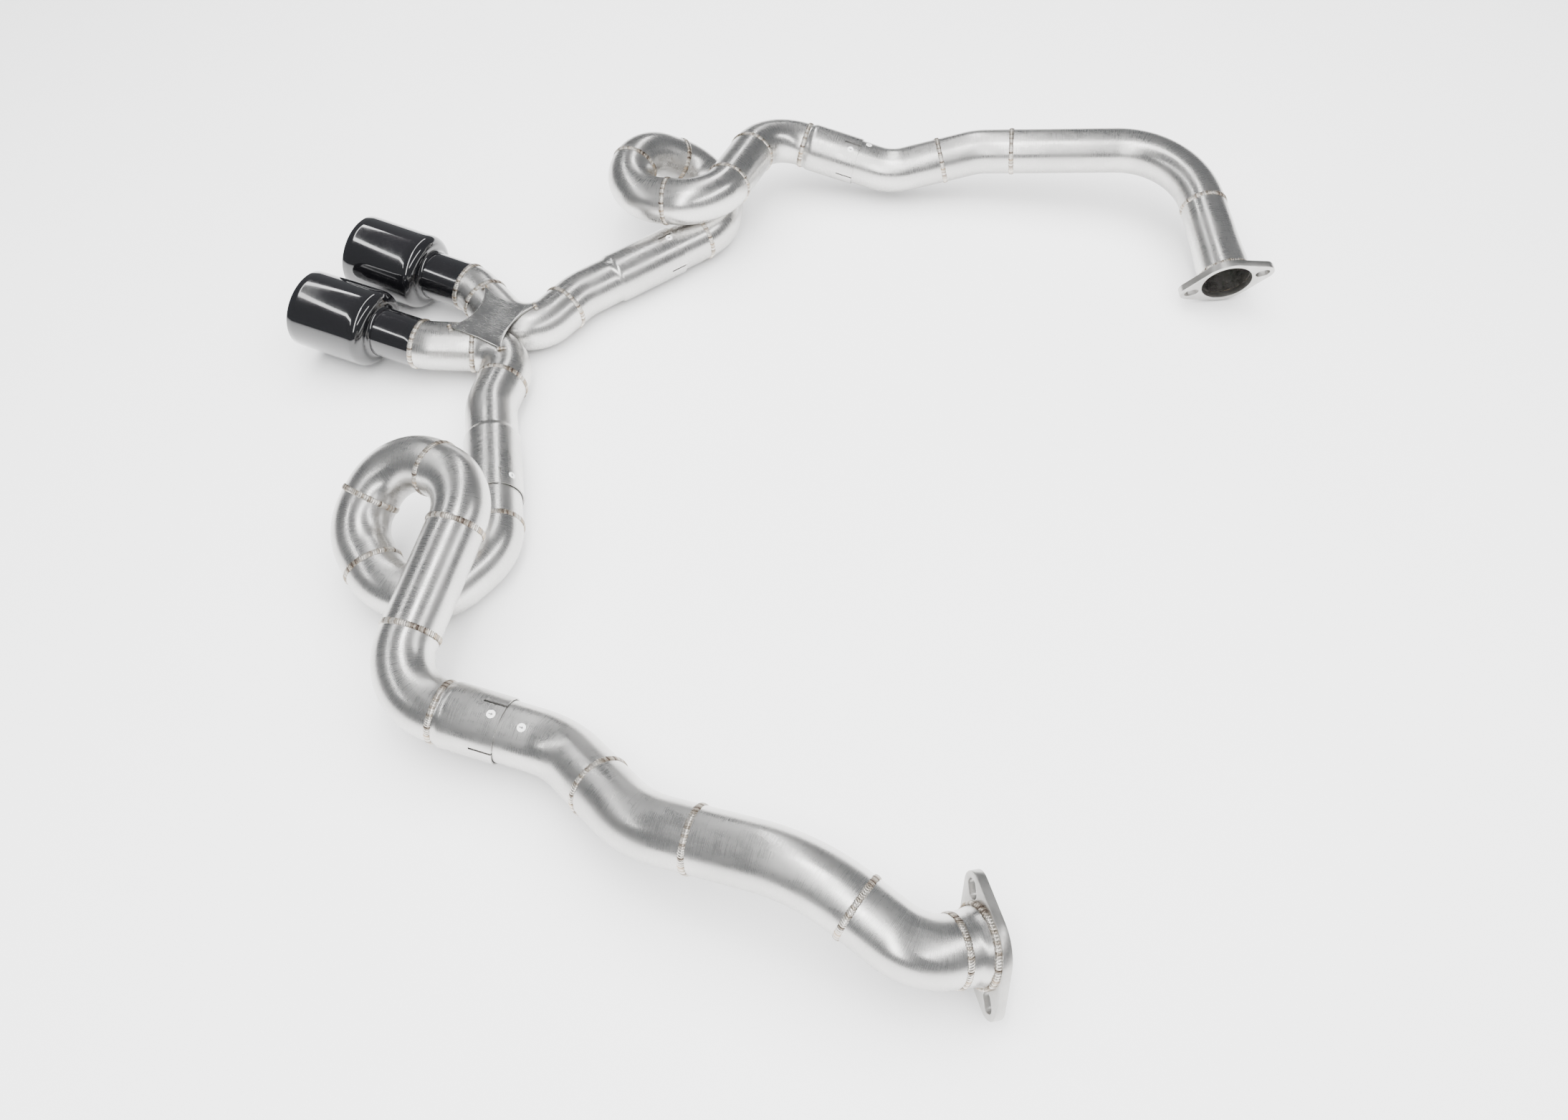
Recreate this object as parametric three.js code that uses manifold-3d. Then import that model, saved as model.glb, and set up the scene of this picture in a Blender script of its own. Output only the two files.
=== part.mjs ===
// Twin-inlet, centre-exit race exhaust: five fabricated pipe sections joined by four slip joints.
// Millimetres. +X is the near side, +Y runs forward to the inlets, +Z is up.
// Each side is one pipe route: it is written with X counted outwards, and mirrored for the far side.
import * as THREE from "three";
import { mergeVertices } from "three/addons/utils/BufferGeometryUtils.js";
import Module from "manifold-3d";

const wasm = await Module();
wasm.setup();

// ---- driving dimensions ----
const PIPE_OD = 63.5; // 2.5 inch race pipe
const WALL = 1.5;
const TIP_OD = 101.6; // 4 inch outlet
const TIP_GAP = 20.4; // clear space between the two tips
const TIP_CENTRES = TIP_OD + TIP_GAP; // between the two outlet axes
const TIP_SHELL = 105; // length of the wide part of a tip
const TIP_NECK = 58; // from the shell's shoulder to the first weld
const SHOULDER_ROUND = 15; // rounding of a tip's rear shoulder
const TIP_KICK = 14; // the outlets stand this much higher than their first bend
const CROSSING_RUN = 274; // outlets to the crossing of the two elbows
const LANE_REACH = 505; // centre plane to the pipe that leaves the loop
const LOOP_REACH = 200; // the loop's first bend to the pipe that leaves it
const LEG_REACH = LANE_REACH - LOOP_REACH; // centre plane to the loop's first bend
const INLET_OUTSET = 39; // the near inlet stands this far outside that pipe
const INLET_REACH = LANE_REACH + INLET_OUTSET; // centre plane to the near inlet
const OVERALL_RUN = 1066; // outlets to the near inlet
const BEND_RADIUS = 63.5; // centre line radius of a mandrel bend: one pipe diameter
const ELBOW_RADIUS = 43; // the tight elbows of the crossing
const SWEEP_RADIUS = 92; // the gentle bends
const LOOP_CLEAR = 0.5; // allowed between the floor pass and the crossover
const LOOP_LIFT = PIPE_OD + LOOP_CLEAR; // floor pass to the crossover above it
const FLANGE_THICK = 10;
const BORE_CLEARANCE = 4.5; // the bore is this much wider than the pipe
const FLANGE_BORE = PIPE_OD + BORE_CLEARANCE;
const SLOT_WIDTH = 12;
const SLOT_LENGTH = 19;
const BORE_TO_SLOT = 4.5; // material between the bore and a slot
const SLOT_TO_END = 6.5; // material between a slot and the flange's end
const STUD_SPACING = FLANGE_BORE + SLOT_LENGTH + 2 * BORE_TO_SLOT;
const FLANGE_LENGTH = STUD_SPACING + SLOT_LENGTH + 2 * SLOT_TO_END;
const LOBE_RADIUS = 14.5; // rounding of the flange's two ends
const FLANGE_LAND = 6; // material beside the bore
const FLANGE_WAIST = FLANGE_BORE / 2 + FLANGE_LAND; // half the flange's height at its middle
const SLIP_OVERLAP = 62; // how far a spigot reaches into its sleeve
const SLEEVE_LENGTH = 95; // expanded end of a leg
const SLIP_CLEARANCE = 0.9; // radial, round a spigot
const SLIT_LENGTH = 24; // clamping slits in a sleeve's mouth
const SLIT_WIDTH = 2.5;
const SLITS = 4;
const GAP = 0.3; // between pieces that meet
const GUSSET_THICK = 2.5;

const R = PIPE_OD / 2;
const FLOOR = R + 1; // centre height of a pipe that lies on the floor
const SIDES_ROUND = 16;
const BEND_STEP = 20; // degrees between the rings of a bend
const SIDE = { near: 1, far: -1 };
const FLANGE_ROLL = { near: 30, far: 20 }; // degrees the studs' line is turned from level
const SLIT_PHASE = { near: { leg: -23, loop: -18 }, far: { leg: 6.5, loop: 10 } }; // degrees from the top

// ---- finishes ----
const FINISH = {
  steel: { color: 0xb9b6b0, roughness: 0.32, metalness: 1 },
  steelPlate: { color: 0xc4c2bd, roughness: 0.24, metalness: 1 },
  black: { color: 0x08080a, roughness: 0.12, metalness: 0 },
  flange: { color: 0xaeaba6, roughness: 0.42, metalness: 1 },
};

// ---- the centre line of one side ----
// Each bend is where two straight centre lines meet. "own" holds what differs between the sides.
const OWN = {
  near: {
    outer: { y: -40, z: 0 },
    rear: { x: 1, y: -9, z: 0 },
    inner: { x: 7, y: -4, z: 6 },
    crest: { x: 6, y: -13, z: 10 },
    lane: { x: 17, z: -11 },
  },
  far: {
    outer: { y: -37, z: -3 },
    rear: { x: -2, y: 11, z: 46 },
    inner: { x: -11, y: 4, z: -7 },
    crest: { x: -5, y: 17, z: -8 },
    lane: { x: -20, z: 8 },
  },
};

function bends(side) {
  const own = OWN[side];
  const back = CROSSING_RUN;
  const legBack = back + 143;
  const laneBack = legBack + 195.5;
  const crest = FLOOR + LOOP_LIFT + 12;
  const list = [
    bend("outlet", TIP_CENTRES / 2, 0, FLOOR + 17 + TIP_KICK, 0),
    bend("tip_bend", TIP_CENTRES / 2 - 2, CROSSING_RUN - 105, FLOOR + 17, 51),
    bend("crossing", 8, CROSSING_RUN, FLOOR - 1, ELBOW_RADIUS),
    bend("leg_bend", 112, CROSSING_RUN + (side === "near" ? 20 : 26), FLOOR, SWEEP_RADIUS),
    bend("loop_in", LEG_REACH, legBack, FLOOR + 1, BEND_RADIUS),
    bend("loop_outer", LEG_REACH + 126, legBack + own.outer.y, FLOOR - 2 + own.outer.z, BEND_RADIUS - 4),
    bend("loop_rear", LEG_REACH + 48 + own.rear.x, back + 5 + own.rear.y, FLOOR + 30 + own.rear.z,
      BEND_RADIUS - 7),
    bend("loop_inner", LEG_REACH - 46 + own.inner.x, back + 14 + own.inner.y, crest - 4 + own.inner.z,
      BEND_RADIUS - 8),
    bend("loop_crest", LEG_REACH - 22 + own.crest.x, legBack - 5 + own.crest.y, crest + own.crest.z,
      BEND_RADIUS),
    bend("lane_in", LANE_REACH + own.lane.x, legBack + 6, FLOOR + LOOP_LIFT - 23 + own.lane.z, BEND_RADIUS),
    bend("lane_out", LANE_REACH, laneBack, FLOOR + 11, SWEEP_RADIUS - 4),
    bend("pipe_in", LANE_REACH + 56, laneBack + 115, FLOOR + 38, SWEEP_RADIUS + 18),
  ];
  if (side === "near")
    list.push(
      bend("pipe_sag", LANE_REACH + 46, OVERALL_RUN - 170, FLOOR + 53, 248),
      bend("inlet_bend", INLET_REACH + 40, OVERALL_RUN - 52, FLOOR + 35, BEND_RADIUS),
      bend("inlet", INLET_REACH, OVERALL_RUN, FLOOR + 14, 0),
    );
  else
    list.push(
      bend("inlet_bend", INLET_REACH + 87, OVERALL_RUN - 47, FLOOR + 65, BEND_RADIUS * 2 - 4),
      bend("inlet", INLET_REACH - 116, OVERALL_RUN + 57, FLOOR + 8, 0),
    );
  return list.map((b) => ({ ...b, at: new THREE.Vector3(b.x * SIDE[side], b.y, b.z) }));
}

function bend(name, x, y, z, radius) {
  return { name, x, y, z, radius };
}

// The whole route of one side: straight runs and bends, each with its length from the outlet.
function makeRoute(side) {
  const corners = bends(side);
  const parts = [];
  let along = 0;
  let from = corners[0].at.clone();
  corners.slice(1).forEach((corner, i) => {
    const into = corner.at.clone().sub(corners[i].at).normalize();
    const next = corners[i + 2];
    const out = next ? next.at.clone().sub(corner.at).normalize() : into;
    const turn = next ? into.angleTo(out) : 0;
    const back = corner.radius * Math.tan(turn / 2);
    const start = corner.at.clone().addScaledVector(into, -back);
    const straight = start.clone().sub(from).dot(into);
    if (straight < 0) throw new Error(`${side} ${corner.name}: the bends are too close together`);
    parts.push({ name: corner.name, kind: "straight", from: along, length: straight, at: from, dir: into });
    along += straight;
    if (next) {
      const toCentre = out.clone().addScaledVector(into, -into.dot(out)).normalize();
      const length = corner.radius * turn;
      parts.push({ name: corner.name, kind: "bend", from: along, length, at: start, dir: into, toCentre,
        radius: corner.radius, turn });
      along += length;
      from = corner.at.clone().addScaledVector(out, back);
    }
  });
  return { side, parts, length: along };
}

// The point and direction of the centre line at a distance from the outlet.
function pointOn(route, distance) {
  const part = route.parts.findLast((p) => distance >= p.from - 1e-6) ?? route.parts[0];
  const s = distance - part.from;
  if (part.kind === "straight")
    return { at: part.at.clone().addScaledVector(part.dir, s), dir: part.dir.clone() };
  const angle = s / part.radius;
  return {
    at: part.at
      .clone()
      .addScaledVector(part.dir, part.radius * Math.sin(angle))
      .addScaledVector(part.toCentre, part.radius * (1 - Math.cos(angle))),
    dir: part.dir.clone().multiplyScalar(Math.cos(angle)).addScaledVector(part.toCentre, Math.sin(angle)),
  };
}

// A place on the straight that leads into a named bend: 0 is its start, 1 is its end.
function station(route, name, share) {
  const part = route.parts.find((p) => p.name === name && p.kind === "straight");
  return part.from + part.length * share;
}

// Distances at which a pipe needs a ring: its ends, and every few degrees of each bend in between.
function ringsBetween(route, from, to) {
  const rings = [from];
  for (const part of route.parts) {
    if (part.kind === "straight") continue;
    const steps = Math.ceil(THREE.MathUtils.radToDeg(part.turn) / BEND_STEP);
    for (let i = 0; i <= steps; i++) {
      const s = part.from + (part.length * i) / steps;
      if (s > from + 2 && s < to - 2) rings.push(s);
    }
  }
  return [...rings, to];
}

// ---- solids ----
function solid(geometry) {
  const g = geometry.clone();
  g.deleteAttribute("normal");
  g.deleteAttribute("uv");
  const merged = mergeVertices(g, 1e-4);
  return new wasm.Manifold(
    new wasm.Mesh({
      numProp: 3,
      vertProperties: merged.attributes.position.array,
      triVerts: new Uint32Array(merged.index.array),
    }),
  );
}

function geometryOf(shape) {
  const mesh = shape.getMesh();
  const geometry = new THREE.BufferGeometry();
  geometry.setAttribute("position", new THREE.BufferAttribute(new Float32Array(mesh.vertProperties), 3));
  geometry.setIndex(new THREE.BufferAttribute(new Uint32Array(mesh.triVerts), 1));
  geometry.computeVertexNormals();
  return geometry;
}

// A round pipe that follows the route. Each section gives its distance, outer radius and inner radius.
// A lathe makes it straight, and each of its rings is then carried to its place on the centre line.
function pipe(route, sections) {
  const outer = sections.map((s) => new THREE.Vector2(s.outer, s.at));
  const inner = sections.map((s) => new THREE.Vector2(s.inner, s.at)).reverse();
  const profile = [...outer, ...inner, outer[0].clone()];
  const geometry = new THREE.LatheGeometry(profile, SIDES_ROUND);
  const frames = new Map();
  let across = new THREE.Vector3(0, 0, 1);
  for (const at of [...new Set(sections.map((s) => Math.fround(s.at)))].sort((a, b) => a - b)) {
    const spot = pointOn(route, at);
    across = across.clone().addScaledVector(spot.dir, -across.dot(spot.dir)).normalize();
    frames.set(at, { ...spot, across, side: across.clone().cross(spot.dir) });
  }
  const position = geometry.getAttribute("position");
  for (let i = 0; i < position.count; i++) {
    const frame = frames.get(Math.fround(position.getY(i)));
    const p = frame.at
      .clone()
      .addScaledVector(frame.across, position.getX(i))
      .addScaledVector(frame.side, position.getZ(i));
    position.setXYZ(i, p.x, p.y, p.z);
  }
  return geometry;
}

// A plain pipe between two stations, kept half a gap short at each end that meets another piece.
function plainPipe(route, from, to, outer = R, inner = R - WALL) {
  const rings = ringsBetween(route, from + GAP / 2, to - GAP / 2);
  return pipe(route, rings.map((at) => ({ at, outer, inner })));
}

// A slot through a sleeve's wall at its mouth, as a thin block.
function slit(route, mouth, angle) {
  const { at, dir } = pointOn(route, mouth);
  const block = new THREE.BoxGeometry(SLIT_WIDTH, R, SLIT_LENGTH * 2);
  const up = new THREE.Vector3(0, 0, 1).addScaledVector(dir, -dir.z).normalize().applyAxisAngle(dir, angle);
  const matrix = new THREE.Matrix4().makeBasis(up.clone().cross(dir), up, dir);
  matrix.setPosition(at.clone().addScaledVector(up, R));
  return block.applyMatrix4(matrix);
}

function cutSlits(geometry, route, mouth, phase) {
  const firstAngle = THREE.MathUtils.degToRad(phase);
  let body = solid(geometry);
  for (let i = 0; i < SLITS; i++)
    body = body.subtract(solid(slit(route, mouth, firstAngle + (i * 2 * Math.PI) / SLITS)));
  return geometryOf(body);
}

// ---- pieces ----
const SLEEVE_INNER = R + SLIP_CLEARANCE;
const SLEEVE_OUTER = SLEEVE_INNER + WALL;
const STEP = 8; // length of the cone that leads up to an expanded end

// The wide black outlet: a rolled lip, a straight shell, and a rounded shoulder down to the neck.
function tipShell(route) {
  const outer = TIP_OD / 2;
  const inner = outer - 2;
  const hole = R + GAP;
  const round = SHOULDER_ROUND;
  const back = TIP_SHELL;
  const shoulder = (radius) => [0, 30, 60, 90].map((deg) => {
    const a = THREE.MathUtils.degToRad(deg);
    return { at: back - round + radius * Math.sin(a), r: outer - round + radius * Math.cos(a) };
  });
  const outside = [
    { r: inner + 0.4, at: 0 },
    { r: outer - 0.5, at: 0 },
    { r: outer, at: 1 },
    ...shoulder(round),
    { r: hole, at: back + 4 },
  ];
  const inside = [
    { r: hole, at: back + 1 },
    ...shoulder(round - 2).reverse(),
    { r: inner, at: 1 },
  ];
  return turned(route, [...outside, ...inside]);
}

// A turned part on the straight that starts at the outlet.
function turned(route, outline) {
  const profile = [...outline, outline[0]].map((p) => new THREE.Vector2(p.r, p.at));
  const geometry = new THREE.LatheGeometry(profile, SIDES_ROUND * 2);
  const { at, dir } = pointOn(route, 0);
  const across = new THREE.Vector3(0, 0, 1).addScaledVector(dir, -dir.z).normalize();
  const matrix = new THREE.Matrix4().makeBasis(across, dir, across.clone().cross(dir));
  matrix.setPosition(at);
  return geometry.applyMatrix4(matrix);
}

// Half-space block that trims an elbow to its own side of the centre plane.
function sideBlock(side) {
  const size = 400;
  const block = new THREE.BoxGeometry(size, size, size);
  return block.translate(SIDE[side] * (size / 2 + GAP / 2), CROSSING_RUN, 0);
}

function crossingElbow(route, from, to) {
  return geometryOf(solid(plainPipe(route, from, to)).intersect(solid(sideBlock(route.side))));
}

// A leg: bend, straight pipe, then the expanded and slit end that takes the loop's spigot.
function leg(route, from, mouth) {
  const stepAt = mouth - SLEEVE_LENGTH;
  const rings = ringsBetween(route, from + GAP / 2, stepAt - STEP);
  const sections = rings.map((at) => ({ at, outer: R, inner: R - WALL }));
  sections.push({ at: stepAt, outer: SLEEVE_OUTER, inner: SLEEVE_INNER });
  sections.push({ at: mouth, outer: SLEEVE_OUTER, inner: SLEEVE_INNER });
  return cutSlits(pipe(route, sections), route, mouth, SLIT_PHASE[route.side].leg);
}

// The sleeve at the end of a loop, wide enough over its length past the step for the inlet pipe.
function loopSleeve(route, from, mouth) {
  const start = from + GAP / 2;
  const sections = [
    { at: start, outer: R, inner: R - WALL },
    { at: start + 3, outer: R, inner: R - WALL },
    { at: start + 3 + STEP, outer: SLEEVE_OUTER, inner: SLEEVE_INNER },
    { at: mouth, outer: SLEEVE_OUTER, inner: SLEEVE_INNER },
  ];
  return cutSlits(pipe(route, sections), route, mouth, SLIT_PHASE[route.side].loop);
}

// A pipe whose first end is a spigot, reaching back into the sleeve it slides in.
function spigot(route, mouth, reach, to) {
  const rings = ringsBetween(route, mouth - reach, to - GAP / 2);
  return pipe(route, rings.map((at) => ({ at, outer: R, inner: R - WALL })));
}

// The collar flares out to the flange it is welded to.
function collar(route, from) {
  const mouth = FLANGE_BORE / 2;
  const end = route.length - FLANGE_THICK - GAP;
  const start = from + GAP / 2;
  const sections = [
    { at: start, outer: R, inner: R - WALL },
    { at: start + (end - start) * 0.45, outer: R + 1, inner: R + 1 - WALL },
    { at: end, outer: mouth + WALL, inner: mouth },
  ];
  return pipe(route, sections);
}

// Two-stud flange: an oval plate with a round bore and two slots along its length.
function flange(route) {
  const shape = new THREE.Shape();
  const lobe = FLANGE_LENGTH / 2 - LOBE_RADIUS;
  const lean = Math.acos((FLANGE_WAIST - LOBE_RADIUS) / lobe);
  shape.absarc(lobe, 0, LOBE_RADIUS, -lean, lean);
  shape.absarc(0, 0, FLANGE_WAIST, lean, Math.PI - lean);
  shape.absarc(-lobe, 0, LOBE_RADIUS, Math.PI - lean, Math.PI + lean);
  shape.absarc(0, 0, FLANGE_WAIST, Math.PI + lean, 2 * Math.PI - lean);
  const bore = new THREE.Path().absarc(0, 0, FLANGE_BORE / 2, 0, 2 * Math.PI);
  const slots = [-1, 1].map((end) => {
    const r = SLOT_WIDTH / 2;
    const half = SLOT_LENGTH / 2 - r;
    const x = (end * STUD_SPACING) / 2;
    const slot = new THREE.Path();
    slot.absarc(x + half, 0, r, -Math.PI / 2, Math.PI / 2);
    slot.absarc(x - half, 0, r, Math.PI / 2, (3 * Math.PI) / 2);
    return slot;
  });
  shape.holes.push(bore, ...slots);
  const plate = new THREE.ExtrudeGeometry(shape, {
    depth: FLANGE_THICK,
    bevelEnabled: false,
    curveSegments: 8,
  });
  const { at, dir } = pointOn(route, route.length);
  const roll = THREE.MathUtils.degToRad(FLANGE_ROLL[route.side]);
  const level = new THREE.Vector3(0, 0, 1).cross(dir).normalize().applyAxisAngle(dir, roll);
  const matrix = new THREE.Matrix4().makeBasis(level, dir.clone().cross(level), dir);
  matrix.setPosition(at.clone().addScaledVector(dir, -FLANGE_THICK));
  return plate.applyMatrix4(matrix);
}

// Star-shaped plate over the crossing: four arms with hollow sides, one on each pipe.
function gusset(near, far) {
  const lift = R + GAP + 0.2;
  const onTop = (route, distance) => pointOn(route, distance).at.add(new THREE.Vector3(0, 0, lift));
  const tipArm = (route) => onTop(route, station(route, "crossing", 0.5));
  const legArm = (route) => onTop(route, station(route, "leg_bend", 0) - 20);
  const corners = [tipArm(near), legArm(near), legArm(far), tipArm(far)];
  const rear = (corners[0].y + corners[3].y) / 2;
  const front = (corners[1].y + corners[2].y) / 2;
  const rearZ = Math.max(corners[0].z, corners[3].z);
  const frontZ = Math.max(corners[1].z, corners[2].z);
  const slope = Math.atan2(frontZ - rearZ, front - rear);
  const shape = new THREE.Shape();
  const flat = corners.map((c) => [c.x, (c.y - rear) / Math.cos(slope)]);
  const middle = [0, (front - rear) * 0.55];
  shape.moveTo(...flat[0]);
  flat.forEach((corner, i) => {
    const next = flat[(i + 1) % flat.length];
    const pull = [0.12, 0.62, 0.55, 0.7][i];
    const waist = [0, 1].map((k) => ((corner[k] + next[k]) / 2) * (1 - pull) + middle[k] * pull);
    shape.quadraticCurveTo(...waist, ...next);
  });
  const plate = new THREE.ExtrudeGeometry(shape, {
    depth: GUSSET_THICK,
    bevelEnabled: false,
    curveSegments: 10,
  });
  return plate.rotateX(slope).translate(0, rear, rearZ);
}

// ---- assembly ----
const group = new THREE.Group();

function addPiece(name, geometry, finish) {
  const mesh = new THREE.Mesh(geometry, new THREE.MeshStandardMaterial(FINISH[finish]));
  mesh.name = name;
  group.add(mesh);
}

const routes = {};
for (const side of Object.keys(SIDE)) {
  const route = makeRoute(side);
  routes[side] = route;
  const at = (name, share) => station(route, name, share);
  const isNear = side === "near";
  const neckEnd = TIP_SHELL + TIP_NECK;
  const weld = {
    elbow: at("crossing", isNear ? 0.98 : 0.3),
    leg: at("leg_bend", isNear ? 0.25 : 0.6),
    lowerPass: at("loop_in", 1),
    loopRear: at("loop_rear", 0.05),
    loopInner: at("loop_inner", 0.5),
    loopCrest: at("loop_crest", 0.4),
    crossover: at("lane_in", 0.02),
    turnOut: at("lane_in", 0.95),
    sleeve: at("lane_out", 0.02),
    pipeIn: at("pipe_in", 0.56),
    longPipe: isNear ? at("pipe_sag", 0.34) : at("inlet_bend", 0.2),
    lastBend: at("inlet_bend", 0.1),
    collar: at("inlet", 0.03),
  };
  const legMouth = at("loop_in", isNear ? 0.77 : 0.75);
  const sleeveMouth = at("lane_out", isNear ? 0.7 : 0.745);
  const add = (name, geometry, finish = "steel") => addPiece(`${side}_${name}`, geometry, finish);

  add("tip_shell", tipShell(route), "black");
  add("tip_neck", plainPipe(route, TIP_SHELL - 14, neckEnd), "black");
  add("tip_bend", crossingElbow(route, neckEnd, weld.elbow));
  add("crossing_elbow", crossingElbow(route, weld.elbow, weld.leg));
  add("leg", leg(route, weld.leg, legMouth));

  add("loop_spigot", spigot(route, legMouth, SLIP_OVERLAP, weld.lowerPass));
  add("loop_lower_pass", plainPipe(route, weld.lowerPass, weld.loopRear));
  add("loop_rear_bend", plainPipe(route, weld.loopRear, weld.loopInner));
  add("loop_inner_bend", plainPipe(route, weld.loopInner, weld.loopCrest));
  add("loop_crest_bend", plainPipe(route, weld.loopCrest, weld.crossover));
  add("loop_crossover", plainPipe(route, weld.crossover, weld.turnOut));
  add("loop_turn_out", plainPipe(route, weld.turnOut, weld.sleeve));
  add("loop_sleeve", loopSleeve(route, weld.sleeve, sleeveMouth));

  add("inlet_spigot", spigot(route, sleeveMouth, SLIP_OVERLAP - 8, weld.pipeIn));
  add("inlet_sweep", plainPipe(route, weld.pipeIn, weld.longPipe));
  if (isNear) {
    add("inlet_long_pipe", plainPipe(route, weld.longPipe, weld.lastBend));
    add("inlet_last_bend", plainPipe(route, weld.lastBend, weld.collar));
  } else {
    add("inlet_long_pipe", plainPipe(route, weld.longPipe, weld.collar));
  }
  add("inlet_collar", collar(route, weld.collar));
  add("inlet_flange", flange(route), "flange");
}
addPiece("crossing_gusset", gusset(routes.near, routes.far), "steelPlate");

// The origin is the middle of the assembly's underside.
const box = new THREE.Box3().setFromObject(group, true);
const middle = box.getCenter(new THREE.Vector3());
for (const mesh of group.children) mesh.geometry.translate(-middle.x, -middle.y, -box.min.z);

export default group;
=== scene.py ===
import math

import bmesh
import bpy
from mathutils import Matrix, Vector


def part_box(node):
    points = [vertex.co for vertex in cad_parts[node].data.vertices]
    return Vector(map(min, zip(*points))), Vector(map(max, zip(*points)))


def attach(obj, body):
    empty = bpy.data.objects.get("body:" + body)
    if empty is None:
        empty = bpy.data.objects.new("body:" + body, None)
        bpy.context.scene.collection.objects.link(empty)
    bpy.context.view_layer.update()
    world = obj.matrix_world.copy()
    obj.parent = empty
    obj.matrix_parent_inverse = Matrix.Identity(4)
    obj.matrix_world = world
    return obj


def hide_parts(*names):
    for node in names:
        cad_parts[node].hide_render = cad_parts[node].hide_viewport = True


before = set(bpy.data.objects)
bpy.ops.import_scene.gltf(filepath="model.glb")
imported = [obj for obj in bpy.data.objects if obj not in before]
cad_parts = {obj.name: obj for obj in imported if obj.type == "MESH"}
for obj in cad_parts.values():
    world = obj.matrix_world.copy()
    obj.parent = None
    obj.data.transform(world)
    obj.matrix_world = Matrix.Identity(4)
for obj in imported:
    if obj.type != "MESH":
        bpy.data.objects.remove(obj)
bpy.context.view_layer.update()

MM = 0.001

# ---- sizes the tube shop works to, in millimetres ----
PIPE_OD = 63.5
WALL = 1.5
TIP_OD = 101.6
TIP_CENTRES = 122
TIP_SHELL = 105
TIP_NECK = 58
TIP_KICK = 14
CROSSING_RUN = 274
LEG_REACH = 305
LANE_REACH = 505
INLET_REACH = 544
OVERALL_RUN = 1066
BEND_RADIUS = 63.5
ELBOW_RADIUS = 43
SWEEP_RADIUS = 92
LOOP_LIFT = 64
FLANGE_LENGTH = 128
FLANGE_THICK = 10
FLANGE_BORE = 68
STUD_SPACING = 96
SLOT_WIDTH = 12
SLOT_LENGTH = 19
LOBE_RADIUS = 14.5
FLANGE_WAIST = 40
SLIP_OVERLAP = 62
SLEEVE_LENGTH = 95
SLIP_CLEARANCE = 0.9
SLIT_LENGTH = 24
SLIT_WIDTH = 2.5
SLITS = 4
GAP = 0.3
GUSSET_THICK = 2.5
R = PIPE_OD / 2
FLOOR = R + 1
SLEEVE_OUTER = R + SLIP_CLEARANCE + WALL
STEP = 8
SIDE = {"near": 1, "far": -1}
FLANGE_ROLL = {"near": 30, "far": 20}
SLIT_PHASE = {"near": {"leg": -23, "loop": -18}, "far": {"leg": 6.5, "loop": 10}}
SHOULDER_ROUND = 15

TUBE_SIDES = 72
RING_SPACING = 3.0

OWN = {
    "near": dict(outer=(-40, 0), rear=(1, -9, 0), inner=(7, -4, 6), crest=(6, -13, 10), lane=(17, -11)),
    "far": dict(outer=(-37, -3), rear=(-2, 11, 46), inner=(-11, 4, -7), crest=(-5, 17, -8), lane=(-20, 8)),
}


# ---- the centre line of each side ----
def bends(side):
    """Name, X outwards, Y forward, Z up and bend radius of every corner, from the outlet to the inlet."""
    own = OWN[side]
    back = CROSSING_RUN
    leg_back = back + 143
    lane_back = leg_back + 195.5
    crest = FLOOR + LOOP_LIFT + 12
    outer, rear, inner, top, lane = (own[name] for name in ("outer", "rear", "inner", "crest", "lane"))
    rows = [
        ("outlet", TIP_CENTRES / 2, 0, FLOOR + 17 + TIP_KICK, 0),
        ("tip_bend", TIP_CENTRES / 2 - 2, back - 105, FLOOR + 17, 51),
        ("crossing", 8, back, FLOOR - 1, ELBOW_RADIUS),
        ("leg_bend", 112, back + (20 if side == "near" else 26), FLOOR, SWEEP_RADIUS),
        ("loop_in", LEG_REACH, leg_back, FLOOR + 1, BEND_RADIUS),
        ("loop_outer", LEG_REACH + 126, leg_back + outer[0], FLOOR - 2 + outer[1], BEND_RADIUS - 4),
        ("loop_rear", LEG_REACH + 48 + rear[0], back + 5 + rear[1], FLOOR + 30 + rear[2], BEND_RADIUS - 7),
        ("loop_inner", LEG_REACH - 46 + inner[0], back + 14 + inner[1], crest - 4 + inner[2],
         BEND_RADIUS - 8),
        ("loop_crest", LEG_REACH - 22 + top[0], leg_back - 5 + top[1], crest + top[2], BEND_RADIUS),
        ("lane_in", LANE_REACH + lane[0], leg_back + 6, FLOOR + 41 + lane[1], BEND_RADIUS),
        ("lane_out", LANE_REACH, lane_back, FLOOR + 11, SWEEP_RADIUS - 4),
        ("pipe_in", LANE_REACH + 56, lane_back + 115, FLOOR + 38, SWEEP_RADIUS + 18),
    ]
    if side == "near":
        rows += [
            ("pipe_sag", LANE_REACH + 46, OVERALL_RUN - 170, FLOOR + 53, 248),
            ("inlet_bend", INLET_REACH + 40, OVERALL_RUN - 52, FLOOR + 35, BEND_RADIUS),
            ("inlet", INLET_REACH, OVERALL_RUN, FLOOR + 14, 0),
        ]
    else:
        rows += [
            ("inlet_bend", INLET_REACH + 87, OVERALL_RUN - 47, FLOOR + 65, BEND_RADIUS * 2 - 4),
            ("inlet", INLET_REACH - 116, OVERALL_RUN + 57, FLOOR + 8, 0),
        ]
    return [(name, Vector((x * SIDE[side], y, z)), radius) for name, x, y, z, radius in rows]


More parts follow.
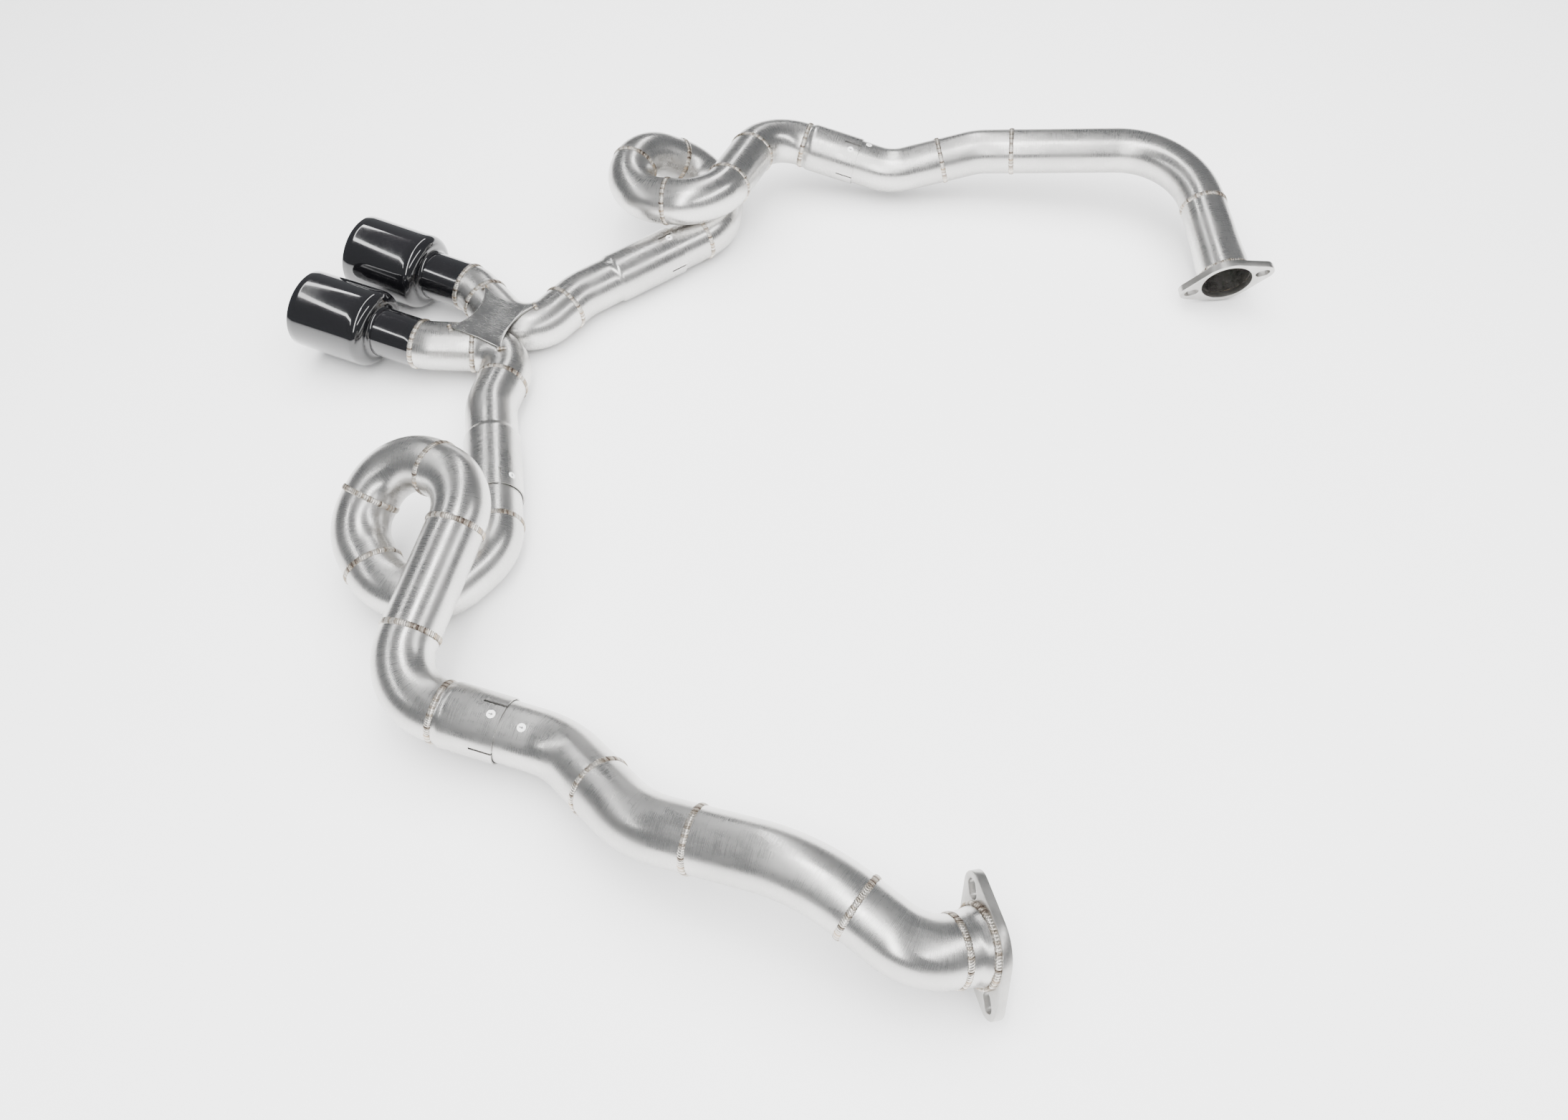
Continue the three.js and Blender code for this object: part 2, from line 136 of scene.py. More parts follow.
class Route:
    """Straight runs and bends of one side, measured in millimetres along the centre line from the outlet."""

    def __init__(self, side):
        self.side = side
        self.parts = []
        corners = bends(side)
        along, start_at = 0.0, corners[0][1].copy()
        for i in range(1, len(corners)):
            name, at, radius = corners[i]
            into = (at - corners[i - 1][1]).normalized()
            last = i == len(corners) - 1
            out = into if last else (corners[i + 1][1] - at).normalized()
            turn = 0.0 if last else into.angle(out)
            back = radius * math.tan(turn / 2)
            bend_at = at - into * back
            length = (bend_at - start_at).dot(into)
            self.parts.append(dict(name=name, bend=False, start=along, length=length, at=start_at, dir=into))
            along += length
            if not last:
                inward = (out - into * into.dot(out)).normalized()
                self.parts.append(dict(name=name, bend=True, start=along, length=radius * turn, at=bend_at,
                                       dir=into, inward=inward, radius=radius, turn=turn))
                along += radius * turn
                start_at = at + out * back
        self.length = along
        self.offset = Vector((0, 0, 0))

    def at(self, distance):
        part = next((p for p in reversed(self.parts) if distance >= p["start"] - 1e-6), self.parts[0])
        s = distance - part["start"]
        if not part["bend"]:
            return part["at"] + part["dir"] * s + self.offset, part["dir"].copy()
        a, r = s / part["radius"], part["radius"]
        place = part["at"] + part["dir"] * (r * math.sin(a)) + part["inward"] * (r * (1 - math.cos(a)))
        return place + self.offset, part["dir"] * math.cos(a) + part["inward"] * math.sin(a)

    def station(self, name, share):
        part = next(p for p in self.parts if p["name"] == name and not p["bend"])
        return part["start"] + part["length"] * share


routes = {side: Route(side) for side in SIDE}


def place_routes():
    """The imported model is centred: its near neck tells by how much."""
    low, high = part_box("near_tip_neck")
    middle = Vector([(a + b) / 2 / MM for a, b in zip(low, high)])
    route = routes["near"]
    neck_middle = (TIP_SHELL - 14 + GAP / 2 + TIP_SHELL + TIP_NECK - GAP / 2) / 2
    offset = middle - route.at(neck_middle)[0]
    for route in routes.values():
        route.offset = offset
    return offset


OFFSET = place_routes()


def welds(side):
    """Distances of every butt weld and slip-joint mouth on one side."""
    route = routes[side]
    near = side == "near"
    at = route.station
    return dict(
        neck=TIP_SHELL + TIP_NECK,
        elbow=at("crossing", 0.98 if near else 0.3),
        leg=at("leg_bend", 0.25 if near else 0.6),
        leg_mouth=at("loop_in", 0.77 if near else 0.75),
        lower_pass=at("loop_in", 1),
        loop_rear=at("loop_rear", 0.05),
        loop_inner=at("loop_inner", 0.5),
        loop_crest=at("loop_crest", 0.4),
        crossover=at("lane_in", 0.02),
        turn_out=at("lane_in", 0.95),
        sleeve=at("lane_out", 0.02),
        sleeve_mouth=at("lane_out", 0.7 if near else 0.745),
        pipe_in=at("pipe_in", 0.56),
        long_pipe=at("pipe_sag", 0.34) if near else at("inlet_bend", 0.2),
        last_bend=at("inlet_bend", 0.1),
        collar=at("inlet", 0.03),
    )


# ---- shader kit ----
class Shader:
    """A material's node tree, with short ways to add what the finishes share."""

    def __init__(self, name):
        self.mat = bpy.data.materials.new(name)
        self.mat.use_nodes = True
        self.tree = self.mat.node_tree
        self.tree.nodes.clear()
        self.out = self.add("ShaderNodeOutputMaterial")
        self.bsdf = self.add("ShaderNodeBsdfPrincipled")
        self.link(self.bsdf.outputs[0], self.out.inputs[0])

    def add(self, kind, **props):
        node = self.tree.nodes.new(kind)
        for key, value in props.items():
            setattr(node, key, value)
        return node

    def link(self, a, b):
        self.tree.links.new(a, b)

    def put(self, socket, value):
        if hasattr(value, "is_output"):
            self.link(value, socket)
        else:
            socket.default_value = value

    def set(self, **values):
        for name, value in values.items():
            self.put(self.bsdf.inputs[name.replace("_", " ")], value)

    def attribute(self, name, output="Fac"):
        node = self.add("ShaderNodeAttribute", attribute_name=name)
        return node.outputs[output]

    def place(self, source, scale):
        node = self.add("ShaderNodeMapping")
        self.link(source, node.inputs["Vector"])
        node.inputs["Scale"].default_value = scale
        return node.outputs[0]

    def noise(self, vector, scale, detail=3.0, roughness=0.55, distortion=0.0):
        node = self.add("ShaderNodeTexNoise")
        self.link(vector, node.inputs["Vector"])
        for key, value in (("Scale", scale), ("Detail", detail), ("Roughness", roughness),
                           ("Distortion", distortion)):
            node.inputs[key].default_value = value
        return node.outputs[0]

    def spread(self, value, low, high, to_low=0.0, to_high=1.0):
        node = self.add("ShaderNodeMapRange")
        for i, v in enumerate((value, low, high, to_low, to_high)):
            self.put(node.inputs[i], v)
        return node.outputs[0]

    def maths(self, operation, a, b=0.0):
        node = self.add("ShaderNodeMath", operation=operation)
        self.put(node.inputs[0], a)
        self.put(node.inputs[1], b)
        return node.outputs[0]

    def ramp(self, value, stops):
        node = self.add("ShaderNodeValToRGB")
        node.color_ramp.interpolation = "EASE"
        while len(node.color_ramp.elements) < len(stops):
            node.color_ramp.elements.new(0.5)
        for element, (position, colour) in zip(node.color_ramp.elements, stops):
            element.position = position
            element.color = (*colour, 1)
        self.link(value, node.inputs[0])
        return node.outputs[0]

    def mix(self, factor, a, b, blend="MIX"):
        node = self.add("ShaderNodeMix", data_type="RGBA", blend_type=blend)
        self.put(node.inputs[0], factor)
        for socket, value in ((node.inputs[6], a), (node.inputs[7], b)):
            self.put(socket, (*value, 1) if isinstance(value, tuple) and len(value) == 3 else value)
        return node.outputs[2]

    def bump(self, height, strength, distance, under=None):
        node = self.add("ShaderNodeBump")
        node.inputs["Strength"].default_value = strength
        node.inputs["Distance"].default_value = distance
        self.link(height, node.inputs["Height"])
        if under is not None:
            self.link(under, node.inputs["Normal"])
        return node.outputs[0]


def brushed_tube():
    """Brushed stainless tube. Patterns run in the tube's own straightened space: round it and along it."""
    s = Shader("brushed tube")
    straight = s.attribute("straight", "Vector")
    heat = s.attribute("heat")
    cloud = s.noise(s.place(straight, (18, 18, 9)), 1.0, 4.0)
    blotch = s.noise(s.place(straight, (60, 60, 26)), 1.0, 3.0)
    lines = s.noise(s.place(straight, (40, 40, 2600)), 1.0, 2.0, 0.6)
    scuffs = s.noise(s.place(straight, (500, 500, 60)), 1.0, 2.0, 0.7)
    tone = s.ramp(cloud, [(0.30, (0.56, 0.55, 0.535)), (0.70, (0.70, 0.69, 0.67))])
    patchy = s.maths("MULTIPLY", s.maths("SUBTRACT", blotch, 0.5), s.maths("MULTIPLY", heat, 0.9))
    warm = s.maths("ADD", heat, patchy)
    tint = s.ramp(warm, [(0.05, (1, 1, 1)), (0.35, (1.0, 0.90, 0.74)), (0.62, (0.86, 0.66, 0.44)),
                         (0.84, (0.58, 0.45, 0.40)), (1.0, (0.50, 0.48, 0.50))])
    colour = s.mix(1.0, tone, tint, "MULTIPLY")
    rough = s.spread(lines, 0.25, 0.75, 0.23, 0.33)
    rough = s.maths("ADD", rough, s.spread(blotch, 0.35, 0.75, -0.03, 0.07))
    rough = s.maths("ADD", rough, s.maths("MULTIPLY", heat, 0.10))
    fine = s.bump(lines, 0.018, 0.0004)
    normal = s.bump(scuffs, 0.02, 0.0005, fine)
    wave = s.bump(cloud, 0.05, 0.004, normal)
    s.set(Base_Color=colour, Metallic=1.0, Roughness=rough, Normal=wave)
    return s.mat


def weld_metal():
    """Ripple weld: each coin keeps its own shade of straw, silver or smoke."""
    s = Shader("ripple weld")
    shade = s.attribute("coin_shade")
    coords = s.add("ShaderNodeTexCoord").outputs["Object"]
    grain = s.noise(coords, 900.0, 2.0)
    colour = s.ramp(shade, [(0.0, (0.14, 0.11, 0.09)), (0.35, (0.42, 0.37, 0.31)), (0.70, (0.76, 0.73, 0.68)),
                            (1.0, (0.46, 0.36, 0.26))])
    s.set(Base_Color=colour, Metallic=1.0, Roughness=s.spread(grain, 0.3, 0.7, 0.24, 0.42),
          Normal=s.bump(grain, 0.12, 0.0003))
    return s.mat


def gloss_black():
    """Deep gloss black with a clear top coat, faint peel and handling dust."""
    s = Shader("gloss black tip")
    coords = s.add("ShaderNodeTexCoord").outputs["Object"]
    peel = s.noise(coords, 170.0, 2.0)
    dust = s.noise(coords, 1400.0, 1.0)
    haze = s.noise(coords, 22.0, 4.0)
    colour = s.mix(s.spread(dust, 0.70, 0.80, 0.0, 0.35), (0.0035, 0.0035, 0.0042), (0.05, 0.05, 0.052))
    s.set(Base_Color=colour, Metallic=0.0, Roughness=s.spread(haze, 0.3, 0.7, 0.06, 0.14),
          Normal=s.bump(peel, 0.03, 0.0006))
    s.bsdf.inputs["Coat Weight"].default_value = 1.0
    s.bsdf.inputs["Coat Roughness"].default_value = 0.03
    s.bsdf.inputs["IOR"].default_value = 1.55
    return s.mat


def lip_steel():
    """The thin polished ring left bare at the outlet."""
    s = Shader("polished lip")
    coords = s.add("ShaderNodeTexCoord").outputs["Object"]
    haze = s.noise(coords, 60.0, 3.0)
    s.set(Base_Color=s.ramp(haze, [(0.3, (0.34, 0.34, 0.35)), (0.7, (0.52, 0.52, 0.52))]), Metallic=1.0,
          Roughness=s.spread(haze, 0.3, 0.7, 0.10, 0.22))
    return s.mat


def ground_plate(name, tone, rough):
    """Plate ground in one direction, a little darker where it has been handled."""
    s = Shader(name)
    coords = s.add("ShaderNodeTexCoord").outputs["Object"]
    lines = s.noise(s.place(coords, (900, 60, 900)), 1.0, 2.0, 0.6)
    cloud = s.noise(coords, 28.0, 4.0)
    dark = tuple(v * 0.78 for v in tone)
    s.set(Base_Color=s.ramp(cloud, [(0.3, dark), (0.7, tone)]), Metallic=1.0,
          Roughness=s.maths("ADD", s.spread(lines, 0.3, 0.7, rough - 0.05, rough + 0.08),
                            s.spread(cloud, 0.3, 0.7, -0.03, 0.05)),
          Normal=s.bump(lines, 0.10, 0.0003))
    return s.mat


def etched_white():
    s = Shader("etched mark")
    coords = s.add("ShaderNodeTexCoord").outputs["Object"]
    speck = s.noise(coords, 1200.0, 2.0)
    s.set(Base_Color=s.ramp(speck, [(0.3, (0.62, 0.62, 0.61)), (0.6, (0.86, 0.86, 0.85))]), Metallic=0.0,
          Roughness=0.6)
    return s.mat


def etched_dark():
    s = Shader("etched pointer")
    coords = s.add("ShaderNodeTexCoord").outputs["Object"]
    speck = s.noise(coords, 1500.0, 2.0)
    s.set(Base_Color=s.ramp(speck, [(0.3, (0.10, 0.10, 0.10)), (0.6, (0.20, 0.20, 0.20))]), Metallic=0.6,
          Roughness=0.5)
    return s.mat


def studio_floor():
    s = Shader("studio floor")
    coords = s.add("ShaderNodeTexCoord").outputs["Object"]
    soft = s.noise(coords, 1.6, 2.0)
    s.set(Base_Color=s.ramp(soft, [(0.3, (0.91, 0.91, 0.91)), (0.7, (0.93, 0.93, 0.93))]), Roughness=0.55)
    return s.mat


TUBE = brushed_tube()
WELD = weld_metal()
BLACK = gloss_black()
LIP = lip_steel()
FLANGE = ground_plate("flange plate", (0.56, 0.55, 0.53), 0.34)
PLATE = ground_plate("gusset plate", (0.70, 0.69, 0.67), 0.20)
MARK = etched_white()
INK = etched_dark()


# ---- geometry nodes ----
def new_tree(name, inputs):
    tree = bpy.data.node_groups.new(name, "GeometryNodeTree")
    tree.interface.new_socket("Geometry", in_out="INPUT", socket_type="NodeSocketGeometry")
    for label, kind, default in inputs:
        socket = tree.interface.new_socket(label, in_out="INPUT", socket_type=kind)
        if default is not None:
            socket.default_value = default
    tree.interface.new_socket("Geometry", in_out="OUTPUT", socket_type="NodeSocketGeometry")
    tree.is_modifier = True
    return tree


class Tree:
    """Short ways to build a geometry node tree."""

    def __init__(self, name, inputs):
        self.tree = new_tree(name, inputs)
        self.start = self.tree.nodes.new("NodeGroupInput")
        self.end = self.tree.nodes.new("NodeGroupOutput")

    def given(self, label):
        return self.start.outputs[label]

    def node(self, kind, inputs=None, **props):
        node = self.tree.nodes.new(kind)
        for key, value in props.items():
            setattr(node, key, value)
        for key, value in (inputs or {}).items():
            if hasattr(value, "is_output"):
                self.tree.links.new(value, node.inputs[key])
            else:
                node.inputs[key].default_value = value
        return node

    def attribute(self, name, kind="FLOAT"):
        node = self.node("GeometryNodeInputNamedAttribute", {"Name": name}, data_type=kind)
        return node.outputs["Attribute"]

    def store(self, geometry, name, value, kind="FLOAT"):
        node = self.node("GeometryNodeStoreNamedAttribute", {"Geometry": geometry, "Name": name},
                         data_type=kind, domain="POINT")
        self.tree.links.new(value, node.inputs["Value"])
        return node.outputs[0]

    def finish(self, geometry, material):
        realised = self.node("GeometryNodeRealizeInstances", {"Geometry": geometry}).outputs[0]
        painted = self.node("GeometryNodeSetMaterial", {"Geometry": realised, "Material": material})
        self.tree.links.new(painted.outputs[0], self.end.inputs[0])
        return self.tree


def tube_tree():
    """A tube along a line: each point of the line says its outer radius and how far along it is."""
    t = Tree("tube along a line", [("Sides", "NodeSocketInt", TUBE_SIDES),
                                   ("Material", "NodeSocketMaterial", None)])
    rail = t.node("GeometryNodeMeshToCurve", {"Mesh": t.given("Geometry")}).outputs[0]
    size = t.attribute("tube_radius")
    circle = {"Resolution": t.given("Sides"), "Radius": 1.0}
    ring = t.node("GeometryNodeCurvePrimitiveCircle", circle).outputs[0]
    ring = t.store(ring, "ring_place", t.node("GeometryNodeInputPosition").outputs[0], "FLOAT_VECTOR")
    tube = t.node("GeometryNodeCurveToMesh", {"Curve": rail, "Profile Curve": ring, "Scale": size}).outputs[0]
    place = t.node("ShaderNodeSeparateXYZ", {"Vector": t.attribute("ring_place", "FLOAT_VECTOR")})
    x = t.node("ShaderNodeMath", {0: place.outputs[0], 1: size}, operation="MULTIPLY").outputs[0]
    y = t.node("ShaderNodeMath", {0: place.outputs[1], 1: size}, operation="MULTIPLY").outputs[0]
    straight = t.node("ShaderNodeCombineXYZ", {0: x, 1: y, 2: t.attribute("along")}).outputs[0]
    tube = t.store(tube, "straight", straight, "FLOAT_VECTOR")
    return t.finish(tube, t.given("Material"))


def weld_tree():
    """A row of overlapping weld coins along a line whose points carry the surface's normal."""
    t = Tree("ripple weld", [
        ("Pitch", "NodeSocketFloat", 0.0026), ("Width", "NodeSocketFloat", 0.0072),
        ("Height", "NodeSocketFloat", 0.0013), ("Seed", "NodeSocketInt", 3),
        ("Material", "NodeSocketMaterial", None)])
    rail = t.node("GeometryNodeMeshToCurve", {"Mesh": t.given("Geometry")}).outputs[0]
    points = t.node("GeometryNodeCurveToPoints", {"Curve": rail, "Length": t.given("Pitch")}, mode="LENGTH")
    coin = t.node("GeometryNodeMeshUVSphere", {"Segments": 10, "Rings": 6, "Radius": 0.5}).outputs[0]
    coin = t.node("GeometryNodeSetShadeSmooth", {"Geometry": coin}).outputs[0]
    up = t.attribute("skin_normal", "FLOAT_VECTOR")
    face_up = t.node("FunctionNodeAlignRotationToVector", {"Vector": up}, axis="Z").outputs[0]
    tangent = points.outputs["Tangent"]
    turned = t.node("FunctionNodeAlignRotationToVector", {"Rotation": face_up, "Vector": tangent}, axis="X",
                    pivot_axis="Z").outputs[0]
    lean = t.node("FunctionNodeRotateRotation", {"Rotation": turned, "Rotate By": (0.0, 0.42, 0.0)},
                  rotation_space="LOCAL").outputs[0]
    wobble = t.node("FunctionNodeRandomValue", {"Min": 0.9, "Max": 1.1, "Seed": t.given("Seed")},
                    data_type="FLOAT")
    factor = wobble.outputs[1]
    length = t.node("ShaderNodeMath", {0: t.given("Pitch"), 1: 2.1}, operation="MULTIPLY").outputs[0]
    width = t.node("ShaderNodeMath", {0: t.given("Width"), 1: factor}, operation="MULTIPLY").outputs[0]
    height = t.node("ShaderNodeMath", {0: t.given("Height"), 1: 2.0}, operation="MULTIPLY").outputs[0]
    size = t.node("ShaderNodeCombineXYZ", {0: length, 1: width, 2: height}).outputs[0]
    shade = t.node("FunctionNodeRandomValue", {"Min": 0.0, "Max": 1.0, "Seed": 11},
                   data_type="FLOAT").outputs[1]
    shaded = t.store(points.outputs[0], "coin_shade", shade)
    row = t.node("GeometryNodeInstanceOnPoints",
                 {"Points": shaded, "Instance": coin, "Rotation": lean, "Scale": size})
    return t.finish(row.outputs[0], t.given("Material"))


TUBE_TREE = tube_tree()
WELD_TREE = weld_tree()


def run_tree(name, mesh, tree, values):
    """Runs a tree over a plain line mesh and returns the result as a plain mesh object."""
    holder = bpy.data.objects.new(name + ".line", mesh)
    bpy.context.scene.collection.objects.link(holder)
    modifier = holder.modifiers.new("shape", "NODES")
    modifier.node_group = tree
    for item in tree.interface.items_tree:
        if item.item_type == "SOCKET" and item.in_out == "INPUT" and item.name in values:
            modifier[item.identifier] = values[item.name]
    holder.update_tag()
    bpy.context.view_layer.update()
    result = bpy.data.meshes.new_from_object(holder.evaluated_get(bpy.context.evaluated_depsgraph_get()))
    bpy.data.objects.remove(holder)
    result.name = name
    return new_object(name, result)


def new_object(name, mesh):
    piece = bpy.data.objects.new(name, mesh)
    bpy.context.scene.collection.objects.link(piece)
    return piece


def line_mesh(name, points, closed=False, floats=None, vectors=None):
    mesh = bpy.data.meshes.new(name)
    edges = [(i, i + 1) for i in range(len(points) - 1)]
    if closed:
        edges.append((len(points) - 1, 0))
    mesh.from_pydata([tuple(p) for p in points], edges, [])
    for key, values in (floats or {}).items():
        layer = mesh.attributes.new(key, "FLOAT", "POINT")
        layer.data.foreach_set("value", [float(v) for v in values])
    for key, values in (vectors or {}).items():
        layer = mesh.attributes.new(key, "FLOAT_VECTOR", "POINT")
        layer.data.foreach_set("vector", [float(c) for v in values for c in v])
    return mesh


def bake_modifiers(piece):
    """Applies the piece's modifiers and leaves a plain mesh."""
    depsgraph = bpy.context.evaluated_depsgraph_get()
    mesh = bpy.data.meshes.new_from_object(piece.evaluated_get(depsgraph), preserve_all_data_layers=True,
                                           depsgraph=depsgraph)
    mesh.name = piece.name
    piece.modifiers.clear()
    piece.data = mesh


def smooth(piece, angle=35):
    for polygon in piece.data.polygons:
        polygon.use_smooth = True
    piece.data.set_sharp_from_angle(angle=math.radians(angle))


# ---- tubes ----
def steps_between(start, end, marks=()):
    """Evenly spaced rings, and one at each mark."""
    places = {round(start, 4), round(end, 4), *[round(m, 4) for m in marks if start < m < end]}
    count = max(2, round((end - start) / RING_SPACING))
    places.update(round(start + (end - start) * i / count, 4) for i in range(count + 1))
    ordered = sorted(places)
    kept = [ordered[0]]
    for place in ordered[1:]:
        if place - kept[-1] > 0.35 or place == ordered[-1]:
            kept.append(place)
    return kept


HEAT_REACH = 15.0


def heat_at(distance, hot):
    return max([math.exp(-((abs(distance - h) / HEAT_REACH) ** 1.3)) for h in hot] + [0.0])


def sweep(name, route, start, end, hot, outer=None, marks=(), wall=WALL, material=None):
    """A tube wall from start to end along the route. outer gives the radius at a distance."""
    outer = outer or (lambda s: R)
    places = steps_between(start, end, marks)
    centres = [route.at(s)[0] * MM for s in places]
    mesh = line_mesh(name, centres, floats={
        "tube_radius": [outer(s) * MM for s in places],
        "along": [s * MM for s in places],
        "heat": [heat_at(s, hot) for s in places],
    })
    piece = run_tree(name, mesh, TUBE_TREE, {"Material": material or TUBE, "Sides": TUBE_SIDES})
    wall_modifier = piece.modifiers.new("wall", "SOLIDIFY")
    wall_modifier.thickness = wall * MM
    wall_modifier.offset = -1
    wall_modifier.use_even_offset = False
    bake_modifiers(piece)
    outward(piece)
    smooth(piece)
    return piece


def outward(piece):
    """Turns the faces out where the sweep left them facing in."""
    mesh = bmesh.new()
    mesh.from_mesh(piece.data)
    bmesh.ops.recalc_face_normals(mesh, faces=mesh.faces)
    if mesh.calc_volume(signed=True) < 0:
        bmesh.ops.reverse_faces(mesh, faces=mesh.faces)
    mesh.to_mesh(piece.data)
    mesh.free()


def boolean(piece, tool, operation):
    """Cuts a piece with a throw-away tool."""
    modifier = piece.modifiers.new("cut", "BOOLEAN")
    modifier.operation = operation
    modifier.solver = "EXACT"
    modifier.object = tool
    bake_modifiers(piece)
    bpy.data.objects.remove(tool)
    smooth(piece)


def block(name, size, matrix):
    mesh = bpy.data.meshes.new(name)
    shape = bmesh.new()
    bmesh.ops.create_cube(shape, size=1.0, matrix=matrix @ Matrix.Diagonal((*size, 1)))
    shape.to_mesh(mesh)
    shape.free()
    return new_object(name, mesh)


def cut_slits(piece, route, mouth, first_angle):
    """Saw slits cut in from the sleeve's mouth."""
    at, direction = route.at(mouth)
    shape = bmesh.new()
    for i in range(SLITS):
        up = (Vector((0, 0, 1)) - direction * direction.z).normalized()
        up = Matrix.Rotation(first_angle + i * 2 * math.pi / SLITS, 3, direction) @ up
        across = up.cross(direction)
        basis = Matrix((across, up, direction)).transposed().to_4x4()
        spot = Matrix.Translation((at + up * R) * MM) @ basis
        size = Matrix.Diagonal((SLIT_WIDTH * MM, R * MM * 0.8, SLIT_LENGTH * 2 * MM, 1))
        bmesh.ops.create_cube(shape, size=1.0, matrix=spot @ size)
    mesh = bpy.data.meshes.new("slits")
    shape.to_mesh(mesh)
    shape.free()
    boolean(piece, new_object("slits", mesh), "DIFFERENCE")


def radius_steps(steps):
    """Outer radius at a distance, from a list of (distance, radius), eased between them."""
    def at(s):
        if s <= steps[0][0]:
            return steps[0][1]
        for (a, ra), (b, rb) in zip(steps, steps[1:]):
            if s <= b:
                t = (s - a) / max(b - a, 1e-6)
                t = t * t * (3 - 2 * t)
                return ra + (rb - ra) * t
        return steps[-1][1]
    return at


# ---- welds ----
def weld_row(name, points, normals, closed, pitch=2.6, width=7.2, height=1.3, seed=3):
    mesh = line_mesh(name, [p * MM for p in points], closed, vectors={"skin_normal": normals})
    return run_tree(name, mesh, WELD_TREE, {"Pitch": pitch * MM, "Width": width * MM, "Height": height * MM,
                                            "Seed": seed, "Material": WELD})


def ring_weld(name, route, distance, radius=R, **sizes):
    at, direction = route.at(distance)
    side = direction.cross(Vector((0, 0, 1))).normalized()
    up = side.cross(direction)
    normals = [side * math.cos(a) + up * math.sin(a) for a in (2 * math.pi * i / 96 for i in range(96))]
    return weld_row(name, [at + n * radius for n in normals], normals, True, **sizes)


def ride(piece, body, slot, *nodes):
    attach(piece, body)
    if nodes:
        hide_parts(*nodes)


# ---- tips ----
def tip_shell(side, route):
    outer = TIP_OD / 2
    round_back = SHOULDER_ROUND
    steps = [(0, outer - 1.0), (0.35, outer - 0.3), (1.0, outer)]
    for degree in range(0, 91, 9):
        a = math.radians(degree)
        steps.append((TIP_SHELL - round_back + round_back * math.sin(a),
                      outer - round_back + round_back * math.cos(a)))
    steps += [(TIP_SHELL + 1.2, outer - round_back - 2), (TIP_SHELL + 4, R + GAP + 0.2)]
    dense = []
    for (a, ra), (b, rb) in zip(steps, steps[1:]):
        count = max(1, round((b - a) / 8))
        dense += [(a + (b - a) * i / count, ra + (rb - ra) * i / count) for i in range(count)]
    dense.append(steps[-1])
    name = side + "_tip_shell_black"
    centres = [route.at(s)[0] * MM for s, _ in dense]
    mesh = line_mesh(name, centres, floats={"tube_radius": [r * MM for _, r in dense],
                                            "along": [s * MM for s, _ in dense], "heat": [0.0] * len(dense)})
    piece = run_tree(name, mesh, TUBE_TREE, {"Material": BLACK, "Sides": 128})
    wall = piece.modifiers.new("wall", "SOLIDIFY")
    wall.thickness = 2 * MM
    wall.offset = -1
    bake_modifiers(piece)
    outward(piece)
    smooth(piece, 40)
    piece.data.materials.append(LIP)
    origin, direction = route.at(0)
    for polygon in piece.data.polygons:
        middle = sum((piece.data.vertices[v].co for v in polygon.vertices), Vector()) / len(polygon.vertices)
        if (middle / MM - origin).dot(direction) < 0.2:
            polygon.material_index = 1
    ride(piece, "centre_section", "gloss_black_tip", side + "_tip_shell")


